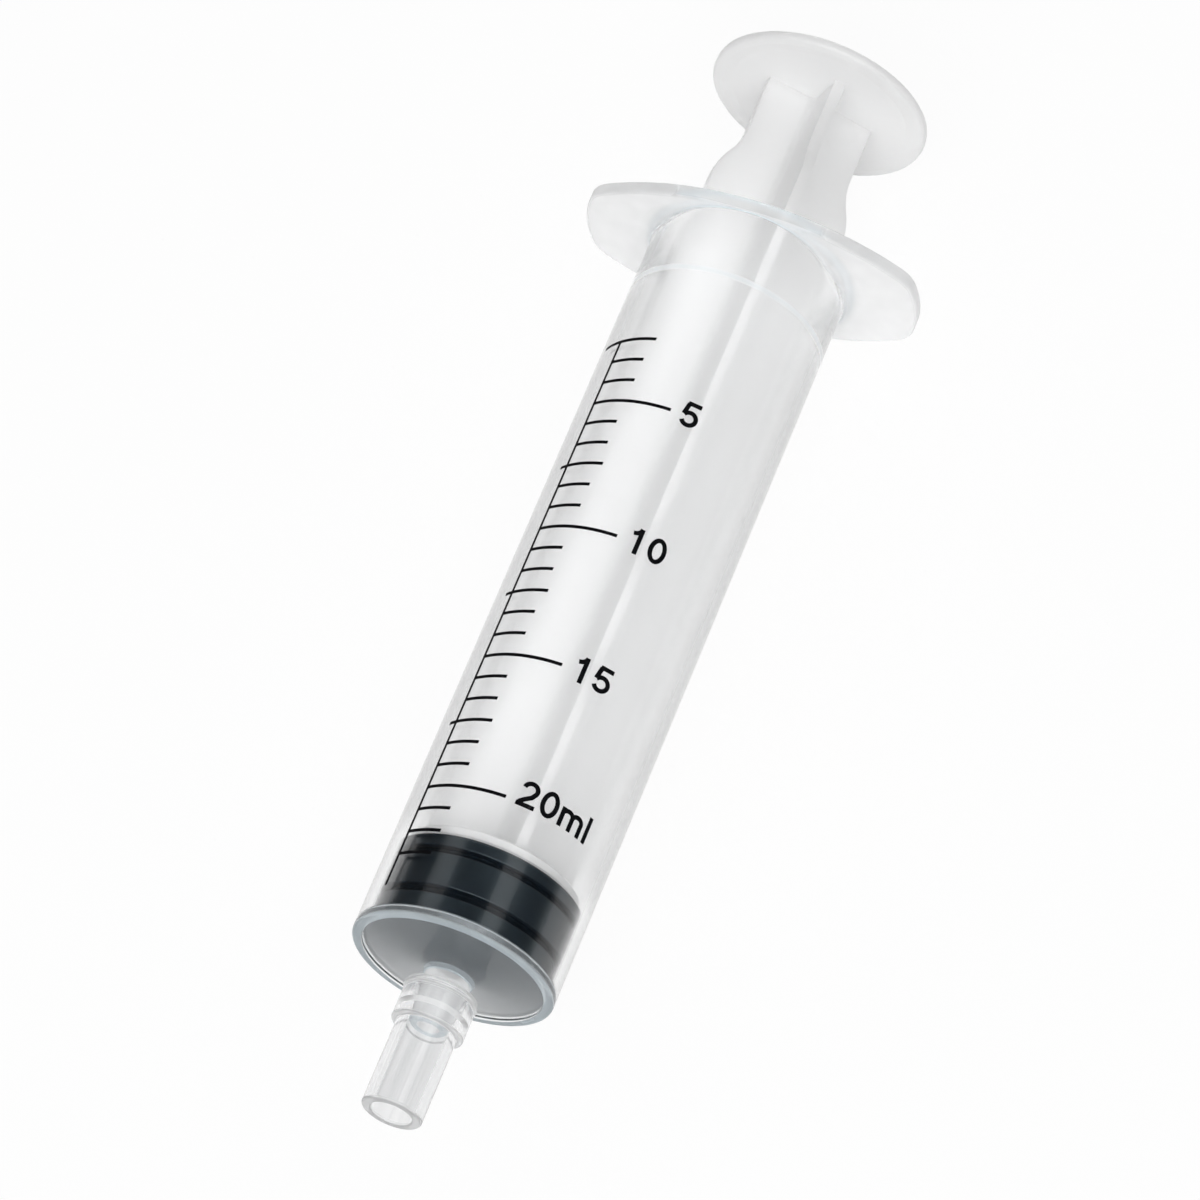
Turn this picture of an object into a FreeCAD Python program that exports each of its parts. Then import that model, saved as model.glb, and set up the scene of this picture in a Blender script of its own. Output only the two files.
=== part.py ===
import FreeCAD, Part
import math
import os

os.makedirs("parts", exist_ok=True)

# A 20 ml syringe with a plunger and a push-on female tip adapter.
# It lies on its side: +X runs along the bore towards the outlet, +Z is up, and the finger
# flange is widest along Y. Sizes are in millimetres. While a piece is drawn, x = 0 is the
# barrel's shoulder plane and the bore's axis is the X axis; place() moves it to the part's frame.

# Barrel tube
barrel_od = 22.0
barrel_wall = 1.05
barrel_length = 90.7
barrel_corner_radius = 0.85
mouth_relief = 0.25
mouth_relief_depth = 9.0
mouth_relief_ramp = 0.6
mouth_edge_bevel = 0.4

# Barrel end: a rolled lip round a shallow cone, and the tapered nozzle
lip_width = 0.25
lip_step = 0.2
lip_edge_bevel = 0.12
cone_rise = 1.15
end_wall = 1.0
end_inner_bevel = 0.25
nozzle_base_d = 4.94
nozzle_tip_d = 4.22
nozzle_length = 5.85
nozzle_bore_d = 2.4
nozzle_root_bevel = 0.35
nozzle_edge_bevel = 0.2

# Finger flange
flange_length = 37.8
flange_thickness = 1.6
flange_side_margin = 0.35
flange_end_width = 10.8
flange_end_bow = 1.0
flange_corner_radius = 3.5
flange_edge_bevel = 0.4
flange_root_radius = 1.8
flange_root_setback = 0.2

# Rubber stopper
stopper_clearance = 0.06
stopper_length = 8.7
stopper_end_gap = 0.12
rear_band = 1.4
rear_groove = 0.85
front_band = 1.8
front_groove = 1.0
groove_depth = 0.75
groove_slope = 0.15
stopper_edge_bevel = 0.3
nose_edge_bevel = 0.25

# Snap fit of the rod's head in the stopper
head_d = 9.4
head_length = 2.4
head_cone_length = 1.5
head_nose_d = 4.0
stem_d = 6.0
stem_length = 2.0
snap_clearance = 0.15
head_edge_bevel = 0.3

# Plunger rod
thrust_clearance = 0.1
thrust_plate_gap = 0.6
thrust_plate_thickness = 1.3
rib_clearance = 1.85
rib_root_thickness = 1.7
rib_edge_thickness = 1.0
rib_root_radius = 0.8
rib_turn_deg = -24.0
rib_count = 4
plunger_standoff = 20.2
wrist_width = 12.7
wrist_length = 6.8
shoulder_length = 7.0
thumb_d = 24.6
thumb_thickness = 1.1
thumb_dish_depth = 0.2
thumb_rim_width = 1.1
thumb_edge_radius = 0.4
plate_edge_bevel = 0.3

# Tip adapter
adapter_standoff = 1.56
adapter_ring_d = 8.0
adapter_ring_thickness = 0.75
adapter_groove_d = 7.2
adapter_groove_width = 0.3
adapter_body_d = 7.76
adapter_body_length = 4.4
adapter_body_corner = 0.9
adapter_socket_d = 5.4
adapter_socket_depth = 2.2
adapter_socket_ramp = 0.5
adapter_tube_d = 6.52
adapter_bore_d = 4.34
adapter_length = 14.24
adapter_edge_bevel = 0.2
seat_clearance = 0.05

# Rounding of a corner stops short of the middle of the shorter side
ROUND_SHARE = 0.45
# A soft corner of a turned piece is rounded off in this many straight cuts
SOFT_CUTS = 3
TINY = 1e-6
FULL_TURN = 360.0


# Geometry helpers

def lathe_point(x, r):
    """A point of a turned profile: x along the axis, r out from it."""
    return FreeCAD.Vector(x, 0.0, r)


def section_point(y, z):
    """A point of a cross-section, square to the axis."""
    return FreeCAD.Vector(0.0, y, z)


def sharp(a, b):
    """A corner left as it is."""
    return a, b, 0.0, 0


def bevelled(a, b, setback):
    """A corner cut off straight, this far back along both sides."""
    return a, b, setback, 1


def softened(a, b, radius):
    """A corner rounded off by a few straight cuts."""
    return a, b, radius, SOFT_CUTS


def rounded(a, b, radius):
    """A corner with a true arc of this radius."""
    return a, b, radius, None


def corner_points(before, corner, after, size, cuts):
    """The points that stand for a corner: itself, the ends of its cuts, or its arc's three."""
    to_before = before - corner
    to_after = after - corner
    angle = to_before.getAngle(to_after)
    if size < TINY or abs(math.pi - angle) < TINY:
        return [corner]
    half_tan = math.tan(angle / 2)
    wanted = size if cuts == 1 else size / half_tan
    setback = min(wanted, ROUND_SHARE * min(to_before.Length, to_after.Length))
    to_before.normalize()
    to_after.normalize()
    radius = setback * half_tan
    inward = to_before + to_after
    inward.normalize()
    onward = to_after - to_before
    onward.normalize()
    centre = corner + inward * (radius / math.sin(angle / 2))
    half_sweep = (math.pi - angle) / 2
    steps = cuts or 2
    points = []
    for k in range(steps + 1):
        turn = half_sweep * (2 * k / steps - 1)
        out = onward * math.sin(turn) - inward * math.cos(turn)
        points.append(centre + out * radius)
    return points


def closed_wire(corners, to_point):
    """A closed wire through sharp, bevelled, softened and rounded corners."""
    points = [to_point(corner[0], corner[1]) for corner in corners]
    runs = []
    for i, (_, _, size, cuts) in enumerate(corners):
        following = points[(i + 1) % len(points)]
        runs.append(corner_points(points[i - 1], points[i], following, size, cuts))
    edges = []
    for i, run in enumerate(runs):
        if corners[i][3] is None and len(run) > 1:
            edges.append(Part.Arc(*run).toShape())
        else:
            edges += [Part.LineSegment(a, b).toShape() for a, b in zip(run, run[1:])]
        end = runs[(i + 1) % len(runs)][0]
        if run[-1].distanceToPoint(end) > TINY:
            edges.append(Part.LineSegment(run[-1], end).toShape())
    return Part.Wire(edges)


def turned(corners):
    """A solid of revolution about the X axis."""
    face = Part.Face(closed_wire(corners, lathe_point))
    return face.revolve(FreeCAD.Vector(0, 0, 0), FreeCAD.Vector(1, 0, 0), FULL_TURN)


def cylinder(diameter, x_start, x_end):
    """A plain cylinder on the X axis."""
    base = FreeCAD.Vector(x_start, 0, 0)
    return Part.makeCylinder(diameter / 2, x_end - x_start, base, FreeCAD.Vector(1, 0, 0))


def side_by_x(shape):
    """The edges that lie in planes square to the X axis."""
    return [edge for edge in shape.Edges if edge.BoundBox.XLength < TINY]


def rotated(shape, degrees):
    """The shape turned about the X axis."""
    turned_copy = shape.copy()
    turned_copy.rotate(FreeCAD.Vector(0, 0, 0), FreeCAD.Vector(1, 0, 0), degrees)
    return turned_copy


# Stations along the axis, from the shoulder plane at x = 0

barrel_bore = barrel_od - 2 * barrel_wall
cone_outer_r = barrel_od / 2 - barrel_corner_radius - lip_width
nozzle_tip_x = cone_rise + nozzle_length
adapter_x = cone_rise + adapter_standoff
outlet_x = adapter_x + adapter_length
flange_front_x = flange_thickness - barrel_length
thumb_front_x = -barrel_length - plunger_standoff
thumb_rear_x = thumb_front_x - thumb_thickness


def end_cone_x(r):
    """Where the outside of the end cone lies at radius r."""
    share = (cone_outer_r - r) / (cone_outer_r - nozzle_base_d / 2)
    return -lip_step + share * (cone_rise + lip_step)


def end_inside_x(r):
    """Where the inside of the end wall lies at radius r."""
    return end_cone_x(r) - end_wall


def nozzle_r(x):
    """The nozzle's radius at station x."""
    share = (x - cone_rise) / nozzle_length
    return nozzle_base_d / 2 + share * (nozzle_tip_d - nozzle_base_d) / 2


# Barrel

def barrel_outside():
    """The tube, end cone and nozzle as one turned solid, with no bore yet."""
    outer_r = barrel_od / 2
    lip_r = cone_outer_r
    return turned([
        sharp(-barrel_length, 0),
        sharp(-barrel_length, outer_r),
        softened(0, outer_r, barrel_corner_radius),
        bevelled(0, lip_r, lip_edge_bevel),
        bevelled(end_cone_x(lip_r), lip_r, lip_edge_bevel),
        bevelled(cone_rise, nozzle_base_d / 2, nozzle_root_bevel),
        bevelled(nozzle_tip_x, nozzle_tip_d / 2, nozzle_edge_bevel),
        sharp(nozzle_tip_x, 0),
    ])


def barrel_cavity():
    """The bore, its wider mouth and the inside of the end cone."""
    bore_r = barrel_bore / 2
    mouth_r = bore_r + mouth_relief
    relief_x = mouth_relief_depth - barrel_length
    return turned([
        sharp(-barrel_length - mouth_edge_bevel, 0),
        sharp(-barrel_length - mouth_edge_bevel, mouth_r + mouth_edge_bevel),
        sharp(-barrel_length, mouth_r + mouth_edge_bevel),
        sharp(mouth_edge_bevel - barrel_length, mouth_r),
        sharp(relief_x, mouth_r),
        sharp(relief_x + mouth_relief_ramp, bore_r),
        bevelled(end_inside_x(bore_r), bore_r, end_inner_bevel),
        sharp(end_inside_x(0), 0),
    ])


def flange_outline(inset):
    """The flange's outline as a face in the plane x = 0, drawn in by the inset."""
    half_width = barrel_od / 2 + flange_side_margin - inset
    half_length = flange_length / 2 - inset
    corner_y = half_length - flange_end_bow
    corner_z = flange_end_width / 2 - inset
    upper = Part.Arc(section_point(-corner_y, corner_z), section_point(0, half_width),
                     section_point(corner_y, corner_z))
    right = Part.Arc(section_point(corner_y, corner_z), section_point(half_length, 0),
                     section_point(corner_y, -corner_z))
    lower = Part.Arc(section_point(corner_y, -corner_z), section_point(0, -half_width),
                     section_point(-corner_y, -corner_z))
    left = Part.Arc(section_point(-corner_y, -corner_z), section_point(-half_length, 0),
                    section_point(-corner_y, corner_z))
    return Part.Face(Part.Wire([arc.toShape() for arc in (upper, right, lower, left)]))


def flange_plate():
    """The flange: a bowed plate with round corners and softened edges."""
    plate = flange_outline(0).extrude(FreeCAD.Vector(flange_thickness, 0, 0))
    corners = [edge for edge in plate.Edges if edge.BoundBox.XLength > flange_thickness / 2]
    plate = plate.makeFillet(flange_corner_radius, corners)
    plate = plate.makeChamfer(flange_edge_bevel, side_by_x(plate))
    plate.translate(FreeCAD.Vector(-barrel_length, 0, 0))
    return plate


def flange_root():
    """The flare from the tube into the flange's front face, trimmed to the flange's sides."""
    tube_r = barrel_od / 2
    start_x = flange_front_x + flange_root_radius
    rim_r = tube_r + flange_root_radius
    below_x = flange_front_x - flange_thickness / 2
    corners = [sharp(below_x, rim_r), sharp(below_x, 0), sharp(start_x, 0)]
    for k in range(SOFT_CUTS + 1):
        turn = k * math.pi / 2 / SOFT_CUTS
        x = start_x - flange_root_radius * math.sin(turn)
        corners.append(sharp(x, rim_r - flange_root_radius * math.cos(turn)))
    solid = turned(corners)
    inset = flange_edge_bevel + flange_root_setback
    trim = flange_outline(inset).extrude(FreeCAD.Vector(barrel_length, 0, 0))
    trim.translate(FreeCAD.Vector(-barrel_length, 0, 0))
    return solid.common(trim)


def make_barrel():
    """Tube, flange, end cone and nozzle: one clear moulding."""
    body = barrel_outside().fuse([flange_plate(), flange_root()])
    body = body.cut(barrel_cavity())
    body = body.cut(cylinder(nozzle_bore_d, end_inside_x(barrel_bore / 2), nozzle_tip_x + end_wall))
    return body.removeSplitter()


# Stopper

stopper_r = barrel_bore / 2 - stopper_clearance
stopper_front_x = end_inside_x(barrel_bore / 2) - stopper_end_gap
stopper_rear_x = stopper_front_x - stopper_length
head_rear_x = stopper_rear_x + stem_length
head_shoulder_x = head_rear_x + head_length
head_front_x = head_shoulder_x + head_cone_length


def stopper_nose_x(r):
    """The conical nose follows the inside of the end wall."""
    return end_inside_x(r) - stopper_end_gap


def make_stopper():
    """A ribbed rubber piston with a conical nose and a snap cavity at the back."""
    floor_r = stopper_r - groove_depth
    groove_1_start = stopper_rear_x + rear_band
    groove_1_end = groove_1_start + rear_groove
    groove_2_end = stopper_front_x - front_band
    groove_2_start = groove_2_end - front_groove
    throat_r = stem_d / 2 + snap_clearance
    pocket_r = head_d / 2 + snap_clearance
    return turned([
        sharp(stopper_rear_x, throat_r),
        bevelled(stopper_rear_x, stopper_r, stopper_edge_bevel),
        sharp(groove_1_start, stopper_r),
        sharp(groove_1_start + groove_slope, floor_r),
        sharp(groove_1_end - groove_slope, floor_r),
        sharp(groove_1_end, stopper_r),
        sharp(groove_2_start, stopper_r),
        sharp(groove_2_start + groove_slope, floor_r),
        sharp(groove_2_end - groove_slope, floor_r),
        sharp(groove_2_end, stopper_r),
        bevelled(stopper_front_x, stopper_r, nose_edge_bevel),
        sharp(stopper_nose_x(0), 0),
        sharp(head_front_x + snap_clearance, 0),
        sharp(head_front_x + snap_clearance, head_nose_d / 2 + snap_clearance),
        sharp(head_shoulder_x + snap_clearance, pocket_r),
        sharp(head_rear_x - snap_clearance, pocket_r),
        sharp(head_rear_x - snap_clearance, throat_r),
    ])


# Plunger rod

plate_front_x = stopper_rear_x - thrust_clearance
plate_rear_x = plate_front_x - thrust_plate_thickness
rib_r = barrel_bore / 2 - rib_clearance


def rod_head():
    """The snap head, its stem and the thrust plate that pushes on the stopper."""
    plate_r = barrel_bore / 2 - thrust_plate_gap
    return turned([
        sharp(plate_rear_x, 0),
        bevelled(plate_rear_x, plate_r, plate_edge_bevel),
        bevelled(plate_front_x, plate_r, plate_edge_bevel),
        sharp(plate_front_x, stem_d / 2),
        sharp(head_rear_x, stem_d / 2),
        bevelled(head_rear_x, head_d / 2, head_edge_bevel),
        bevelled(head_shoulder_x, head_d / 2, head_edge_bevel),
        bevelled(head_front_x, head_nose_d / 2, head_edge_bevel),
        sharp(head_front_x, 0),
    ])


def s_curve(start_x, start_r, end_x, end_r):
    """Two equal arcs that leave and arrive along the axis."""
    run = end_x - start_x
    rise = end_r - start_r
    radius = (run * run + rise * rise) / (4 * rise)
    half_turn = math.atan2(rise, run)
    half_run = radius * math.sin(half_turn)
    half_rise = radius * (1 - math.cos(half_turn))
    middle = lathe_point((start_x + end_x) / 2, (start_r + end_r) / 2)
    first = Part.Arc(lathe_point(start_x, start_r),
                     lathe_point(start_x + half_run, start_r + half_rise), middle)
    second = Part.Arc(middle, lathe_point(end_x - half_run, end_r - half_rise),
                      lathe_point(end_x, end_r))
    return [first.toShape(), second.toShape()]


def rib_envelope():
    """The round space that the ribs fill: narrow at the wrist, and wide in the barrel."""
    wrist_r = wrist_width / 2
    wrist_end_x = thumb_front_x + wrist_length
    shoulder_end_x = wrist_end_x + shoulder_length
    start_x = thumb_front_x - thumb_dish_depth - thumb_thickness / 4
    before = [
        lathe_point(plate_rear_x + thrust_plate_thickness / 2, rib_r),
        lathe_point(plate_rear_x + thrust_plate_thickness / 2, 0),
        lathe_point(start_x, 0),
        lathe_point(start_x, wrist_r),
        lathe_point(wrist_end_x, wrist_r),
    ]
    edges = [Part.LineSegment(a, b).toShape() for a, b in zip(before, before[1:])]
    edges += s_curve(wrist_end_x, wrist_r, shoulder_end_x, rib_r)
    edges.append(Part.LineSegment(lathe_point(shoulder_end_x, rib_r), before[0]).toShape())
    face = Part.Face(Part.Wire(edges))
    return face.revolve(FreeCAD.Vector(0, 0, 0), FreeCAD.Vector(1, 0, 0), FULL_TURN)


def rib_section():
    """The cross-shaped section, each rib thinner at its edge than at its root."""
    reach = barrel_bore / 2
    half_root = rib_root_thickness / 2
    half_edge = rib_edge_thickness / 2
    step = 2 * math.pi / rib_count
    root_reach = half_root / math.tan(step / 2)
    corners = []
    for k in range(rib_count):
        turn = k * step
        for along, across, radius in ((reach, -half_edge, 0.0), (reach, half_edge, 0.0),
                                      (root_reach, half_root, rib_root_radius)):
            y = along * math.cos(turn) - across * math.sin(turn)
            z = along * math.sin(turn) + across * math.cos(turn)
            corners.append(rounded(y, z, radius))
    return Part.Face(closed_wire(corners, section_point))


def rod_ribs():
    """Four tapered ribs that swell from the wrist into the barrel."""
    start_x = thumb_rear_x
    prism = rib_section().extrude(FreeCAD.Vector(plate_front_x - start_x, 0, 0))
    prism.translate(FreeCAD.Vector(start_x, 0, 0))
    return rotated(prism.common(rib_envelope()), rib_turn_deg)


def thumb_disc():
    """The thumb rest: a round plate with a soft rim, dished on both faces."""
    outer_r = thumb_d / 2
    dish_r = outer_r - thumb_rim_width
    floor_r = dish_r - thumb_rim_width
    front_floor_x = thumb_front_x - thumb_dish_depth
    rear_floor_x = thumb_rear_x + thumb_dish_depth
    return turned([
        sharp(rear_floor_x, 0),
        sharp(rear_floor_x, floor_r),
        sharp(thumb_rear_x, dish_r),
        softened(thumb_rear_x, outer_r, thumb_edge_radius),
        softened(thumb_front_x, outer_r, thumb_edge_radius),
        sharp(thumb_front_x, dish_r),
        sharp(front_floor_x, floor_r),
        sharp(front_floor_x, 0),
    ])


def make_plunger_rod():
    """Snap head, thrust plate, ribs and thumb rest: one milky moulding."""
    return rod_head().fuse([rod_ribs(), thumb_disc()]).removeSplitter()


# Tip adapter

def make_tip_adapter():
    """The female hub: a ring, a body that seats on the nozzle, and an open outlet tube."""
    ring_end_x = adapter_x + adapter_ring_thickness
    groove_end_x = ring_end_x + adapter_groove_width
    body_end_x = adapter_x + adapter_body_length
    socket_end_x = adapter_x + adapter_socket_depth
    seat_start_x = socket_end_x + adapter_socket_ramp
    bore_r = adapter_bore_d / 2
    seat_end_x = nozzle_tip_x + seat_clearance
    seat_end_r = max(nozzle_r(seat_end_x) + seat_clearance, bore_r)
    return turned([
        bevelled(adapter_x, adapter_socket_d / 2, adapter_edge_bevel),
        bevelled(adapter_x, adapter_ring_d / 2, adapter_edge_bevel),
        bevelled(ring_end_x, adapter_ring_d / 2, adapter_edge_bevel),
        sharp(ring_end_x, adapter_groove_d / 2),
        sharp(groove_end_x, adapter_groove_d / 2),
        bevelled(groove_end_x, adapter_body_d / 2, adapter_edge_bevel),
        softened(body_end_x, adapter_body_d / 2, adapter_body_corner),
        sharp(body_end_x, adapter_tube_d / 2),
        bevelled(outlet_x, adapter_tube_d / 2, adapter_edge_bevel),
        bevelled(outlet_x, bore_r, adapter_edge_bevel),
        sharp(seat_end_x, seat_end_r),
        sharp(seat_start_x, nozzle_r(seat_start_x) + seat_clearance),
        sharp(socket_end_x, adapter_socket_d / 2),
    ])


# The part's frame: the origin is under the middle of the part, on the surface it lies on

middle_x = (outlet_x + thumb_rear_x) / 2
axis_height = max(thumb_d, barrel_od) / 2


def place(shape):
    """Moves a piece from the drawing's axis to the part's frame."""
    placed = shape.copy()
    placed.translate(FreeCAD.Vector(-middle_x, 0, axis_height))
    return placed


pieces = {
    "barrel": make_barrel(),
    "stopper": make_stopper(),
    "plunger_rod": make_plunger_rod(),
    "tip_adapter": make_tip_adapter(),
}

for name, shape in pieces.items():
    place(shape).exportStep("parts/" + name + ".step")
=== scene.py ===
import math
import bpy
import bmesh
from mathutils import Matrix, Vector


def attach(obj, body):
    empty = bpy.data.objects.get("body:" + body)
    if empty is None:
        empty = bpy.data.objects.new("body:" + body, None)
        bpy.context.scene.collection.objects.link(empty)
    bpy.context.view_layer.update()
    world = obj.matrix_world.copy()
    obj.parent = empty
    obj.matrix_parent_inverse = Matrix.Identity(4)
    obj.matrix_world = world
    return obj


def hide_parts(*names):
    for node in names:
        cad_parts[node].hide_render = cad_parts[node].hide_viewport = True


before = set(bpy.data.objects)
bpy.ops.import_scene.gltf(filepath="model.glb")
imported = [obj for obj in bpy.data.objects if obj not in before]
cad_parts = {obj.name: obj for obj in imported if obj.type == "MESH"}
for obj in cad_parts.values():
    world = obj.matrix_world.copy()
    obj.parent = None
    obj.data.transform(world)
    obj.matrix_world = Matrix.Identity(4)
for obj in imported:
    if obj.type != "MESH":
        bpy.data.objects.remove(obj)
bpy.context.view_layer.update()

# Sizes are in millimetres along the bore, from the shoulder plane of the barrel, as in the
# CAD source. The mesh builders turn them into metres in the row frame.
MM = 0.001
SHOULDER_X = 47.525
AXIS_Z = 12.3

BARREL_R = 11.0
BORE_R = 9.95
BARREL_LENGTH = 90.7
MOUTH_R = 10.2
MOUTH_DEPTH = 9.0
MOUTH_RAMP = 0.6
LIP_R = 9.9
CONE_BACK_X = -0.2
CONE_RISE = 1.15
END_WALL = 1.0
NOZZLE_BASE_R = 2.47
NOZZLE_TIP_R = 2.11
NOZZLE_TIP_X = 7.0
NOZZLE_BORE_R = 1.2

FLANGE_HALF_LENGTH = 18.9
FLANGE_HALF_WIDTH = 11.35
FLANGE_END_HALF_WIDTH = 5.4
FLANGE_END_BOW = 1.0
FLANGE_CORNER_R = 3.5
FLANGE_THICKNESS = 1.6
FLANGE_EDGE_R = 0.4
FLANGE_ROOT_R = 1.8
# The root's radius is at most this share of the flange's overhang
FLANGE_ROOT_SHARE = 0.8
# The plain tube starts this many root radii in front of the flange
FLANGE_ROOT_RUN = 2.4

STOPPER_R = 9.89
STOPPER_FRONT_X = -1.329
STOPPER_REAR_X = -10.029
END_GAP = 0.12
REAR_BAND = 1.4
REAR_GROOVE = 0.85
FRONT_BAND = 1.8
FRONT_GROOVE = 1.0
GROOVE_DEPTH = 0.75
GROOVE_SLOPE = 0.1
# The snap pocket, with its lengths from the stopper's rear
THROAT_R = 3.15
THROAT_LENGTH = 1.85
POCKET_R = 4.85
POCKET_LENGTH = 4.55
POCKET_END_R = 2.15
POCKET_END_LENGTH = 6.05

ADAPTER_X = 2.71
OUTLET_X = 16.95
RING_R = 4.0
RING_THICKNESS = 0.75
RING_GROOVE_R = 3.6
RING_GROOVE_WIDTH = 0.3
HUB_R = 3.88
HUB_LENGTH = 4.4
TUBE_R = 3.26
OUTLET_R = 2.17
SOCKET_R = 2.7
SOCKET_DEPTH = 2.2
SOCKET_RAMP = 0.5
SEAT_CLEARANCE = 0.05

# Roundings of edges
NOZZLE_BORE_ROUND = 0.12
NOZZLE_ROUND = 0.2
LIP_ROUND = 0.1
SHOULDER_ROUND = 0.85
MOUTH_ROUND = 0.4
MOUTH_STEP_ROUND = 0.5
END_INSIDE_ROUND = 0.25
STOPPER_REAR_ROUND = 0.35
STOPPER_NOSE_ROUND = 0.25
GROOVE_EDGE_ROUND = 0.12
POCKET_ROUND = 0.3
HUB_ROUND = 0.9
RING_ROUND = 0.25
OUTLET_ROUND = 0.3
OUTLET_BORE_ROUND = 0.25
SEAT_ROUND = 0.05
STEP_ROUND = 0.1
INNER_ROUND = 0.2

# Steps round each turned piece, and the distance within which its points are merged, in metres
BARREL_SEGMENTS = 288
STOPPER_SEGMENTS = 192
ADAPTER_SEGMENTS = 128
MERGE_DISTANCE = 1e-8


# Mesh builders

def end_cone_x(r):
    """The outside of the barrel's end cone at radius r."""
    return CONE_BACK_X + (LIP_R - r) / (LIP_R - NOZZLE_BASE_R) * (CONE_RISE - CONE_BACK_X)


def end_inside_x(r):
    """The inside of the barrel's end wall at radius r."""
    return end_cone_x(r) - END_WALL


def nozzle_r(x):
    """The nozzle's radius at station x."""
    share = (x - CONE_RISE) / (NOZZLE_TIP_X - CONE_RISE)
    return NOZZLE_BASE_R + share * (NOZZLE_TIP_R - NOZZLE_BASE_R)


def soft_profile(corners, step_deg=12.0, guard=0.03):
    """A closed outline with each corner (x, r, radius) rounded off. Short runs beside each
    arc keep the shading of the flat sides even."""
    points = [Vector((c[0], c[1])) for c in corners]
    out = []
    for i, (x, r, size) in enumerate(corners):
        here, before, after = points[i], points[i - 1], points[(i + 1) % len(points)]
        to_before, to_after = before - here, after - here
        if size <= 0:
            out.append(here)
            continue
        angle = to_before.angle(to_after)
        half_tan = math.tan(angle / 2)
        shorter = min(to_before.length, to_after.length)
        setback = min(size / half_tan, 0.42 * shorter)
        radius = setback * half_tan
        gap = min(guard, 0.06 * shorter)
        to_before.normalize()
        to_after.normalize()
        inward = (to_before + to_after).normalized()
        onward = (to_after - to_before).normalized()
        centre = here + inward * (radius / math.sin(angle / 2))
        half_sweep = (math.pi - angle) / 2
        steps = max(2, round(math.degrees(2 * half_sweep) / step_deg))
        out.append(here + to_before * (setback + gap))
        for k in range(steps + 1):
            turn = half_sweep * (2 * k / steps - 1)
            out.append(centre + (onward * math.sin(turn) - inward * math.cos(turn)) * radius)
        out.append(here + to_after * (setback + gap))
    return [(p.x, p.y) for p in out]


def place(x, r, turn):
    """A point at station x, radius r and angle turn from +Y towards +Z, in the row frame."""
    return (
        (x + SHOULDER_X) * MM,
        r * math.cos(turn) * MM,
        (AXIS_Z + r * math.sin(turn)) * MM,
    )


def turned(name, corners_at, segments):
    """A turned solid whose closed outline may differ from angle to angle."""
    verts, faces = [], []
    for k in range(segments):
        turn = 2 * math.pi * k / segments
        outline = soft_profile(corners_at(turn))
        verts += [place(x, r, turn) for x, r in outline]
    n = len(outline)
    for k in range(segments):
        a, b = k * n, (k + 1) % segments * n
        for i in range(n):
            j = (i + 1) % n
            faces.append((a + i, a + j, b + j, b + i))
    return finished(name, verts, faces, merge=MERGE_DISTANCE)


def finished(name, verts, faces, merge=None, sharp_deg=32.0):
    """An object made of this mesh, with its doubles merged, its faces turned outwards and
    its shading smooth up to an angle."""
    mesh = bpy.data.meshes.new(name)
    mesh.from_pydata(verts, [], faces)
    work = bmesh.new()
    work.from_mesh(mesh)
    if merge:
        bmesh.ops.remove_doubles(work, verts=work.verts, dist=merge)
        bmesh.ops.dissolve_degenerate(work, edges=work.edges, dist=merge)
    bmesh.ops.recalc_face_normals(work, faces=work.faces)
    work.to_mesh(mesh)
    work.free()
    mesh.shade_smooth()
    mesh.set_sharp_from_angle(angle=math.radians(sharp_deg))
    made = bpy.data.objects.new(name, mesh)
    bpy.context.scene.collection.objects.link(made)
    return made


# Barrel

def circle_through(half_chord, sagitta):
    """Radius of the arc over this half chord that bows out by this much."""
    return (half_chord ** 2 + sagitta ** 2) / (2 * sagitta)


SIDE_CHORD = FLANGE_HALF_LENGTH - FLANGE_END_BOW
SIDE_ARC_R = circle_through(SIDE_CHORD, FLANGE_HALF_WIDTH - FLANGE_END_HALF_WIDTH)
END_ARC_R = circle_through(FLANGE_END_HALF_WIDTH, FLANGE_END_BOW)
SIDE_CENTRE = Vector((0.0, FLANGE_HALF_WIDTH - SIDE_ARC_R))
END_CENTRE = Vector((FLANGE_HALF_LENGTH - END_ARC_R, 0.0))


def flange_corner_centre():
    """Where the circle that rounds a corner of the flange has its centre."""
    a, b = SIDE_ARC_R - FLANGE_CORNER_R, END_ARC_R - FLANGE_CORNER_R
    between = END_CENTRE - SIDE_CENTRE
    d = between.length
    along = (a * a - b * b + d * d) / (2 * d)
    off = math.sqrt(a * a - along * along)
    unit = between / d
    options = [
        SIDE_CENTRE + unit * along + Vector((-unit.y, unit.x)) * off * side
        for side in (-1, 1)
    ]
    return max(options, key=lambda p: p.x + p.y)


CORNER_CENTRE = flange_corner_centre()


def ray_reach(centre, radius, turn):
    """How far a ray from the axis at this angle goes until it leaves a circle."""
    ray = Vector((math.cos(turn), math.sin(turn)))
    along = centre.dot(ray)
    inside = radius ** 2 - (centre.length_squared - along ** 2)
    return along + math.sqrt(max(inside, 0.0))


def flange_reach(turn):
    """How far the flange reaches from the axis at this angle from +Y."""
    turn = abs(math.atan2(math.sin(turn), math.cos(turn)))
    turn = min(turn, math.pi - turn)
    to_side = CORNER_CENTRE - SIDE_CENTRE
    to_end = CORNER_CENTRE - END_CENTRE
    side_touch = SIDE_CENTRE + to_side.normalized() * SIDE_ARC_R
    end_touch = END_CENTRE + to_end.normalized() * END_ARC_R
    if turn > math.atan2(side_touch.y, side_touch.x):
        return ray_reach(SIDE_CENTRE, SIDE_ARC_R, turn)
    if turn < math.atan2(end_touch.y, end_touch.x):
        return ray_reach(END_CENTRE, END_ARC_R, turn)
    return ray_reach(CORNER_CENTRE, FLANGE_CORNER_R, turn)


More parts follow.
